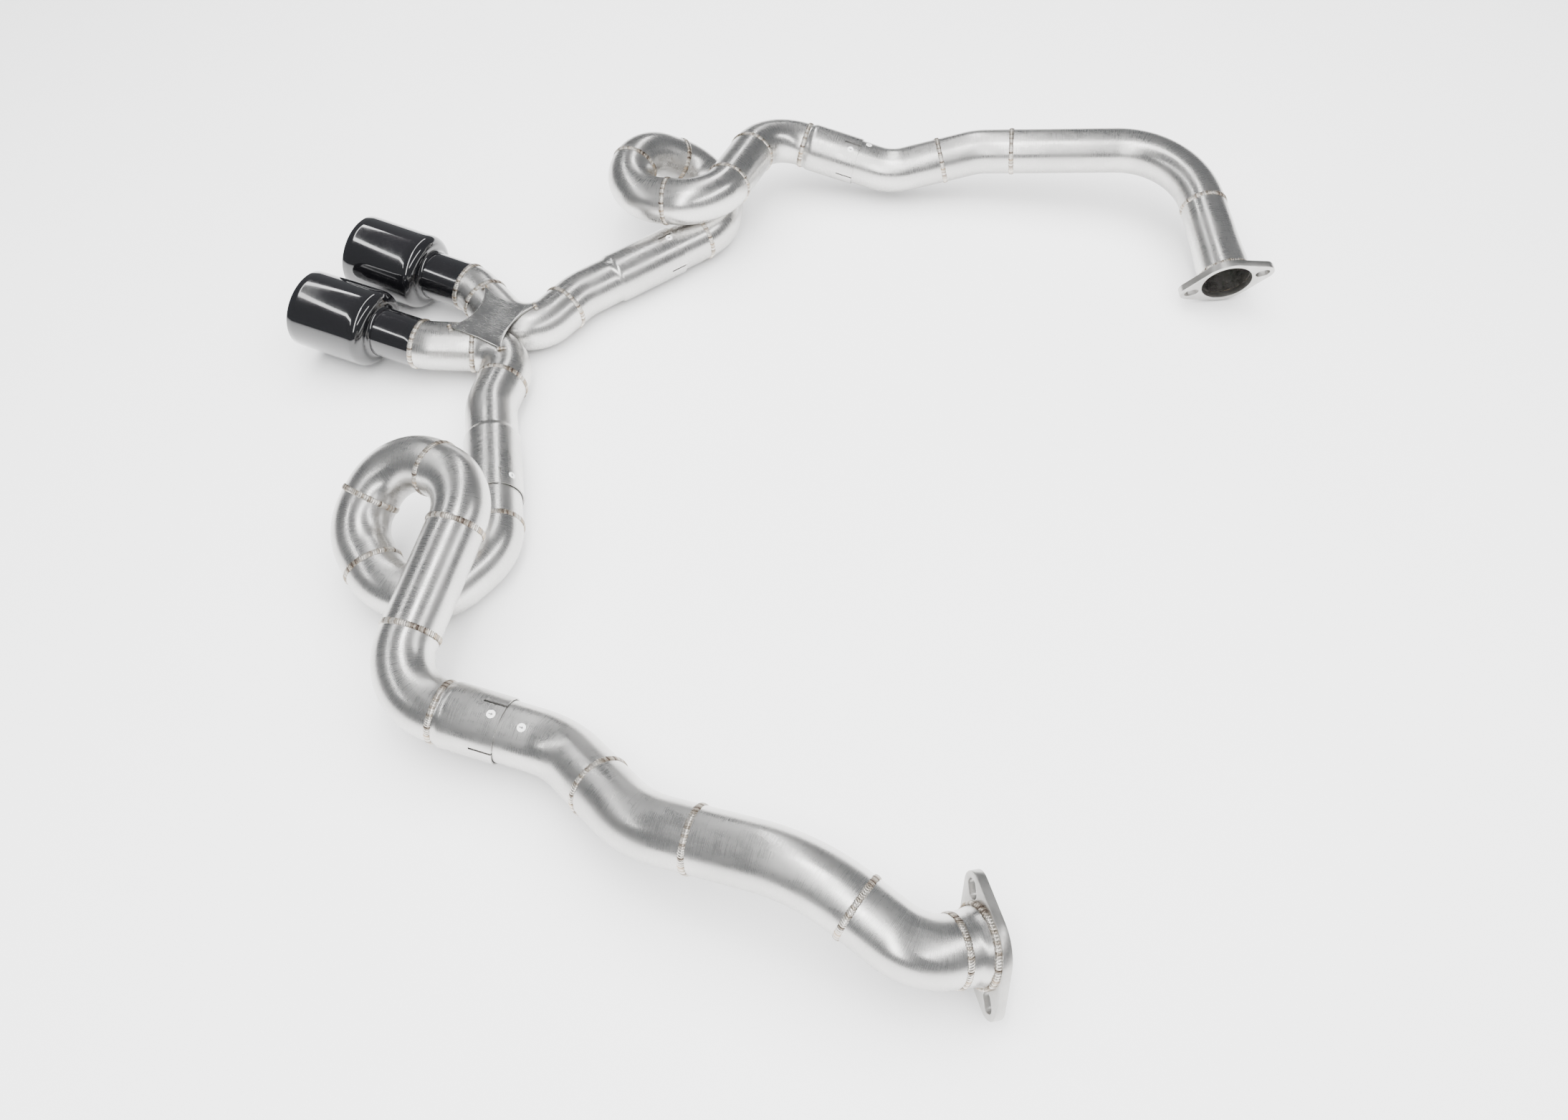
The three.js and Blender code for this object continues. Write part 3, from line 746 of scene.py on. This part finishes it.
def build_side(side):
    route, at = routes[side], welds(side)
    near = side == "near"
    half = GAP / 2
    loop, inlet = side + "_loop_section", side + "_inlet_section"

    def tube(node, start, end, hot, body, **more):
        piece = sweep(f"{side}_{node}_tube", route, start + half, end - half, hot, **more)
        ride(piece, body, "brushed_tube", f"{side}_{node}")
        return piece

    tip_shell(side, route)
    neck = sweep(side + "_tip_neck_black", route, TIP_SHELL - 14 + half, at["neck"] - half, [],
                 material=BLACK)
    ride(neck, "centre_section", "gloss_black_tip", side + "_tip_neck")
    tube("tip_bend", at["neck"], at["elbow"], [at["neck"], at["elbow"]], "centre_section")

    elbow = sweep(side + "_crossing_elbow_tube", route, at["elbow"] + half, at["leg"] - half,
                  [at["elbow"], at["leg"]])
    size = 0.4
    cutter = block("cutter", (size, size, size), Matrix.Translation(
        (OFFSET + Vector((0, CROSSING_RUN, 0))) * MM + Vector((SIDE[side] * (size / 2 + half * MM), 0, 0))))
    boolean(elbow, cutter, "INTERSECT")
    ride(elbow, "centre_section", "brushed_tube", side + "_crossing_elbow")

    step = at["leg_mouth"] - SLEEVE_LENGTH
    leg_radius = radius_steps([(step - STEP, R), (step, SLEEVE_OUTER)])
    leg = sweep(side + "_leg_tube", route, at["leg"] + half, at["leg_mouth"], [at["leg"]], leg_radius,
                marks=(step - STEP, step - STEP * 0.5, step))
    cut_slits(leg, route, at["leg_mouth"], math.radians(SLIT_PHASE[side]["leg"]))
    ride(leg, "centre_section", "brushed_tube", side + "_leg")

    spigot = sweep(side + "_loop_spigot_tube", route, at["leg_mouth"] - SLIP_OVERLAP, at["lower_pass"] - half,
                   [at["lower_pass"]])
    ride(spigot, loop, "brushed_tube", side + "_loop_spigot")
    tube("loop_lower_pass", at["lower_pass"], at["loop_rear"], [at["lower_pass"], at["loop_rear"]], loop)
    tube("loop_rear_bend", at["loop_rear"], at["loop_inner"], [at["loop_rear"], at["loop_inner"]], loop)
    tube("loop_inner_bend", at["loop_inner"], at["loop_crest"], [at["loop_inner"], at["loop_crest"]], loop)
    tube("loop_crest_bend", at["loop_crest"], at["crossover"], [at["loop_crest"], at["crossover"]], loop)
    tube("loop_crossover", at["crossover"], at["turn_out"], [at["crossover"], at["turn_out"]], loop)
    tube("loop_turn_out", at["turn_out"], at["sleeve"], [at["turn_out"], at["sleeve"]], loop)
    sleeve_radius = radius_steps([(at["sleeve"] + half + 3, R),
                                  (at["sleeve"] + half + 3 + STEP, SLEEVE_OUTER)])
    sleeve = sweep(side + "_loop_sleeve_tube", route, at["sleeve"] + half, at["sleeve_mouth"], [at["sleeve"]],
                   sleeve_radius)
    cut_slits(sleeve, route, at["sleeve_mouth"], math.radians(SLIT_PHASE[side]["loop"]))
    ride(sleeve, loop, "brushed_tube", side + "_loop_sleeve")

    s_bend = sweep(side + "_inlet_spigot_tube", route,
                   at["sleeve_mouth"] - SLIP_OVERLAP + 8, at["pipe_in"] - half,
                   [at["pipe_in"]])
    ride(s_bend, inlet, "brushed_tube", side + "_inlet_spigot")
    tube("inlet_sweep", at["pipe_in"], at["long_pipe"], [at["pipe_in"], at["long_pipe"]], inlet)
    if near:
        tube("inlet_long_pipe", at["long_pipe"], at["last_bend"], [at["long_pipe"], at["last_bend"]], inlet)
        tube("inlet_last_bend", at["last_bend"], at["collar"], [at["last_bend"], at["collar"]], inlet)
    else:
        tube("inlet_long_pipe", at["long_pipe"], at["collar"], [at["long_pipe"], at["collar"]], inlet)
    end = route.length - FLANGE_THICK - GAP
    start = at["collar"] + half
    mouth = FLANGE_BORE / 2 + WALL
    collar = sweep(side + "_inlet_collar_tube", route, start, end, [at["collar"], end],
                   radius_steps([(start, R), (start + (end - start) * 0.45, R + 1), (end, mouth)]))
    ride(collar, inlet, "brushed_tube", side + "_inlet_collar")

    names = [("neck", "centre_section"), ("elbow", "centre_section"), ("leg", "centre_section"),
             ("lower_pass", loop),
             ("loop_rear", loop), ("loop_inner", loop), ("loop_crest", loop), ("crossover", loop),
             ("turn_out", loop),
             ("sleeve", loop), ("pipe_in", inlet), ("long_pipe", inlet), ("collar", inlet)]
    if near:
        names.append(("last_bend", inlet))
    for i, (name, body) in enumerate(names):
        weld = ring_weld(f"{side}_{name}_weld", route, at[name], seed=i + 3)
        ride(weld, body, "brushed_tube")
    fillet = ring_weld(side + "_flange_weld", route, end + 0.1 - 1.2, mouth + 1.0, pitch=3.0, width=8.0,
                       height=1.9)
    ride(fillet, inlet, "brushed_tube")
    flange(side, route, inlet)


def flange_outline(steps=14):
    """The oval's outline, round each lobe and along each side."""
    lobe = FLANGE_LENGTH / 2 - LOBE_RADIUS
    lean = math.acos((FLANGE_WAIST - LOBE_RADIUS) / lobe)
    points = []
    for cx, r, a, b in ((lobe, LOBE_RADIUS, -lean, lean), (0, FLANGE_WAIST, lean, math.pi - lean),
                        (-lobe, LOBE_RADIUS, math.pi - lean, math.pi + lean),
                        (0, FLANGE_WAIST, math.pi + lean, 2 * math.pi - lean)):
        points += [(cx + r * math.cos(a + (b - a) * i / steps), r * math.sin(a + (b - a) * i / steps))
                   for i in range(steps + 1)]
    return points


def circle(cx, r, count):
    angles = [2 * math.pi * i / count for i in range(count)]
    return [(cx + r * math.cos(a), r * math.sin(a)) for a in angles]


def slot_outline(cx, count=12):
    r = SLOT_WIDTH / 2
    half = SLOT_LENGTH / 2 - r
    right = [(cx + half + r * math.cos(a), r * math.sin(a)) for a in
             (-math.pi / 2 + math.pi * i / count for i in range(count + 1))]
    left = [(cx - half + r * math.cos(a), r * math.sin(a)) for a in
            (math.pi / 2 + math.pi * i / count for i in range(count + 1))]
    return right + left


def plate_from(name, outlines, thick, bevel, matrix, material):
    """A flat plate from its outer outline and its holes, with eased edges."""
    curve = bpy.data.curves.new(name, "CURVE")
    curve.dimensions = "2D"
    curve.fill_mode = "BOTH"
    curve.extrude = thick / 2 - bevel
    curve.bevel_depth = bevel
    curve.bevel_resolution = 2
    curve.offset = -bevel
    for outline in outlines:
        cleaned = [p for i, p in enumerate(outline) if math.dist(p, outline[i - 1]) > 1e-4]
        spline = curve.splines.new("POLY")
        spline.points.add(len(cleaned) - 1)
        for point, (x, y) in zip(spline.points, cleaned):
            point.co = (x, y, 0, 1)
        spline.use_cyclic_u = True
    holder = bpy.data.objects.new(name, curve)
    bpy.context.scene.collection.objects.link(holder)
    bpy.context.view_layer.update()
    mesh = bpy.data.meshes.new_from_object(holder.evaluated_get(bpy.context.evaluated_depsgraph_get()))
    bpy.data.objects.remove(holder)
    mesh.transform(matrix @ Matrix.Diagonal((MM, MM, MM, 1)))
    piece = new_object(name, mesh)
    shape = bmesh.new()
    shape.from_mesh(mesh)
    bmesh.ops.remove_doubles(shape, verts=shape.verts, dist=2e-6)
    bmesh.ops.recalc_face_normals(shape, faces=shape.faces)
    shape.to_mesh(mesh)
    shape.free()
    mesh.materials.clear()
    mesh.materials.append(material)
    smooth(piece, 30)
    return piece


def flange(side, route, body):
    at, direction = route.at(route.length)
    level = Vector((0, 0, 1)).cross(direction).normalized()
    level.rotate(Matrix.Rotation(math.radians(FLANGE_ROLL[side]), 3, direction))
    up = direction.cross(level)
    basis = Matrix((level, up, direction)).transposed().to_4x4()
    matrix = Matrix.Translation((at - direction * FLANGE_THICK / 2) * MM) @ basis
    outlines = [flange_outline(), circle(0, FLANGE_BORE / 2, 72)]
    outlines += [slot_outline(end * STUD_SPACING / 2) for end in (-1, 1)]
    piece = plate_from(side + "_inlet_flange_plate", outlines, FLANGE_THICK, 0.8, matrix, FLANGE)
    ride(piece, body, "flange_plate", side + "_inlet_flange")


# ---- gusset over the crossing ----
def gusset():
    near, far = routes["near"], routes["far"]
    lift = R + GAP + 0.2

    def on_top(route, distance):
        return route.at(distance)[0] - OFFSET + Vector((0, 0, lift))

    corners = [on_top(near, near.station("crossing", 0.5)), on_top(near, near.station("leg_bend", 0) - 20),
               on_top(far, far.station("leg_bend", 0) - 20), on_top(far, far.station("crossing", 0.5))]
    rear = (corners[0].y + corners[3].y) / 2
    front = (corners[1].y + corners[2].y) / 2
    rear_z = max(corners[0].z, corners[3].z)
    front_z = max(corners[1].z, corners[2].z)
    slope = math.atan2(front_z - rear_z, front - rear)
    flat = [(c.x, (c.y - rear) / math.cos(slope)) for c in corners]
    middle = (0, (front - rear) * 0.55)
    outline = []
    for i, corner in enumerate(flat):
        following = flat[(i + 1) % 4]
        pull = (0.12, 0.62, 0.55, 0.7)[i]
        waist = [(corner[k] + following[k]) / 2 * (1 - pull) + middle[k] * pull for k in (0, 1)]
        for j in range(24):
            t = j / 24
            outline.append(tuple(corner[k] * (1 - t) ** 2 + 2 * waist[k] * t * (1 - t) + following[k] * t * t
                                 for k in (0, 1)))
    matrix = Matrix.Translation((OFFSET + Vector((0, rear, rear_z))) * MM) @ Matrix.Rotation(slope, 4, "X")
    matrix = matrix @ Matrix.Translation((0, 0, GUSSET_THICK / 2 * MM))
    piece = plate_from("crossing_gusset_plate", [outline], GUSSET_THICK, 0.35, matrix, PLATE)
    ride(piece, "centre_section", "gusset_plate", "crossing_gusset")
    scale = Matrix.Diagonal((MM, MM, MM, 1))
    for i, corner in enumerate(flat):
        toward = Vector((middle[0] - corner[0], middle[1] - corner[1], 0)).normalized()
        across = Vector((-toward.y, toward.x, 0))
        spots = [Vector((corner[0], corner[1], 0)) + across * k * 1.0 + toward * 1.0 for k in (-5, -2, 1, 4)]
        points = [(matrix @ scale @ p) / MM for p in spots]
        normal = (matrix.to_3x3() @ Vector((0, 0, 1))).normalized()
        tack = weld_row(f"gusset_tack_{i}", points, [normal] * 4, False, pitch=2.2, width=5.5, height=1.5,
                        seed=i)
        ride(tack, "centre_section", "brushed_tube")


# ---- alignment marks ----
def mark_patch(name, route, distance, degrees, radius, outline, material, lift):
    """A thin patch etched on a tube: outline holds (along, round) pairs in millimetres about its middle."""
    mesh = bmesh.new()
    up_angle = math.radians(degrees)

    def skin(along, round_by, height):
        at, direction = route.at(distance + along)
        up = (Vector((0, 0, 1)) - direction * direction.z).normalized()
        normal = Matrix.Rotation(up_angle + round_by / radius, 3, direction) @ up
        return (at + normal * (radius + height)) * MM

    rings = 4
    layers = []
    for height in (lift, lift - 0.12):
        centre = mesh.verts.new(skin(0, 0, height))
        circles = [[mesh.verts.new(skin(a * k / rings, b * k / rings, height)) for a, b in outline]
                   for k in range(1, rings + 1)]
        layers.append((centre, circles))
    count = len(outline)
    for flip, (centre, circles) in zip((False, True), layers):
        for i in range(count):
            j = (i + 1) % count
            faces = [[centre, circles[0][i], circles[0][j]]]
            faces += [[inner[i], outer[i], outer[j], inner[j]] for inner, outer in zip(circles, circles[1:])]
            for face in faces:
                mesh.faces.new(face[::-1] if flip else face)
    top, bottom = layers[0][1][-1], layers[1][1][-1]
    for i in range(count):
        j = (i + 1) % count
        mesh.faces.new([top[i], bottom[i], bottom[j], top[j]])
    bmesh.ops.recalc_face_normals(mesh, faces=mesh.faces)
    data = bpy.data.meshes.new(name)
    mesh.to_mesh(data)
    mesh.free()
    data.materials.append(material)
    piece = new_object(name, data)
    smooth(piece, 40)
    return piece


def alignment_mark(name, route, distance, degrees, radius, body):
    """A plain white dot with a small dark pointer, for lining the two pipes up."""
    disc = [(4.4 * math.cos(a), 4.4 * math.sin(a)) for a in (2 * math.pi * i / 32 for i in range(32))]
    dot = mark_patch(name + "_dot", route, distance, degrees, radius, disc, MARK, 0.08)
    ride(dot, body, "brushed_tube")
    pointer = [(2.4, 0.0), (0.0, 1.5), (0.0, 0.5), (-2.4, 0.5), (-2.4, -0.5), (0.0, -0.5), (0.0, -1.5)]
    arrow = mark_patch(name + "_pointer", route, distance, degrees, radius, pointer, INK, 0.13)
    ride(arrow, body, "brushed_tube")


def alignment_marks():
    for side, place, distance, degrees, radius, section in (
            ("near", "leg_mark", 501.6, -48.5, SLEEVE_OUTER, "centre_section"),
            ("near", "sleeve_mark", 1313.3, 3.5, SLEEVE_OUTER, "near_loop_section"),
            ("near", "spigot_mark", 1346.5, 9.6, R, "near_inlet_section"),
            ("far", "leg_mark", 507.3, 15.5, SLEEVE_OUTER, "centre_section"),
            ("far", "sleeve_mark", 1300.9, 28.6, SLEEVE_OUTER, "far_loop_section"),
            ("far", "spigot_mark", 1324.0, -9.7, R, "far_inlet_section")):
        alignment_mark(f"{side}_{place}", routes[side], distance, degrees, radius, section)


for side in SIDE:
    build_side(side)
gusset()
alignment_marks()


# ---- studio ----
def area_light(name, at, look_at, size, power, unseen=False):
    data = bpy.data.lights.new(name, "AREA")
    data.shape = "RECTANGLE"
    data.size, data.size_y = size
    data.energy = power
    light = bpy.data.objects.new(name, data)
    light.location = at
    light.visible_glossy = not unseen
    light.rotation_euler = (Vector(look_at) - Vector(at)).to_track_quat("-Z", "Y").to_euler()
    bpy.context.scene.collection.objects.link(light)


def studio():
    mesh = bpy.data.meshes.new("floor")
    mesh.from_pydata([(-9, -9, 0), (9, -9, 0), (9, 9, 0), (-9, 9, 0)], [], [(0, 1, 2, 3)])
    floor = new_object("floor", mesh)
    floor.location.z = -0.0005
    mesh.materials.append(studio_floor())
    world = bpy.data.worlds.new("studio")
    bpy.context.scene.world = world
    world.use_nodes = True
    world.node_tree.nodes["Background"].inputs[0].default_value = (0.93, 0.96, 1, 1)
    world.node_tree.nodes["Background"].inputs[1].default_value = 0.26
    area_light("ceiling", (0, 0.1, 2.6), (0, 0, 0), (4.5, 4.5), 470, unseen=True)
    area_light("left strip", (-1.0, -0.3, 2.1), (0, 0, 0), (0.16, 3.6), 22)
    area_light("right strip", (1.3, 0.3, 2.1), (0.1, 0.1, 0), (0.34, 3.6), 46)
    area_light("back strip", (0.2, -1.5, 1.7), (0, 0, 0), (3.4, 0.08), 14)
    area_light("front strip", (0.3, 1.9, 1.9), (0.1, 0.1, 0), (3.4, 0.24), 34)


def camera():
    """The view from the near front corner, looking down and back across the system."""
    focal, sensor, width = 1729.515, 36.0, 2188
    data = bpy.data.cameras.new("camera")
    data.sensor_width = sensor
    data.lens = focal / width * sensor
    data.shift_x = -81.6 / width
    data.shift_y = -135.86 / width
    data.clip_start = 0.05
    azimuth, elevation, roll = (math.radians(a) for a in (200.887, 49.219, -0.592))
    level = math.cos(elevation)
    forward = Vector((level * math.cos(azimuth), level * math.sin(azimuth), -math.sin(elevation)))
    right = forward.cross(Vector((0, 0, 1))).normalized()
    up = right.cross(forward)
    right, up = right * math.cos(roll) + up * math.sin(roll), up * math.cos(roll) - right * math.sin(roll)
    view = bpy.data.objects.new("camera", data)
    basis = Matrix((right, up, -forward)).transposed().to_4x4()
    view.matrix_world = Matrix.Translation((Vector((958.886, 1089.075, 1163.223)) + OFFSET) * MM) @ basis
    bpy.context.scene.collection.objects.link(view)
    bpy.context.scene.camera = view


studio()
camera()
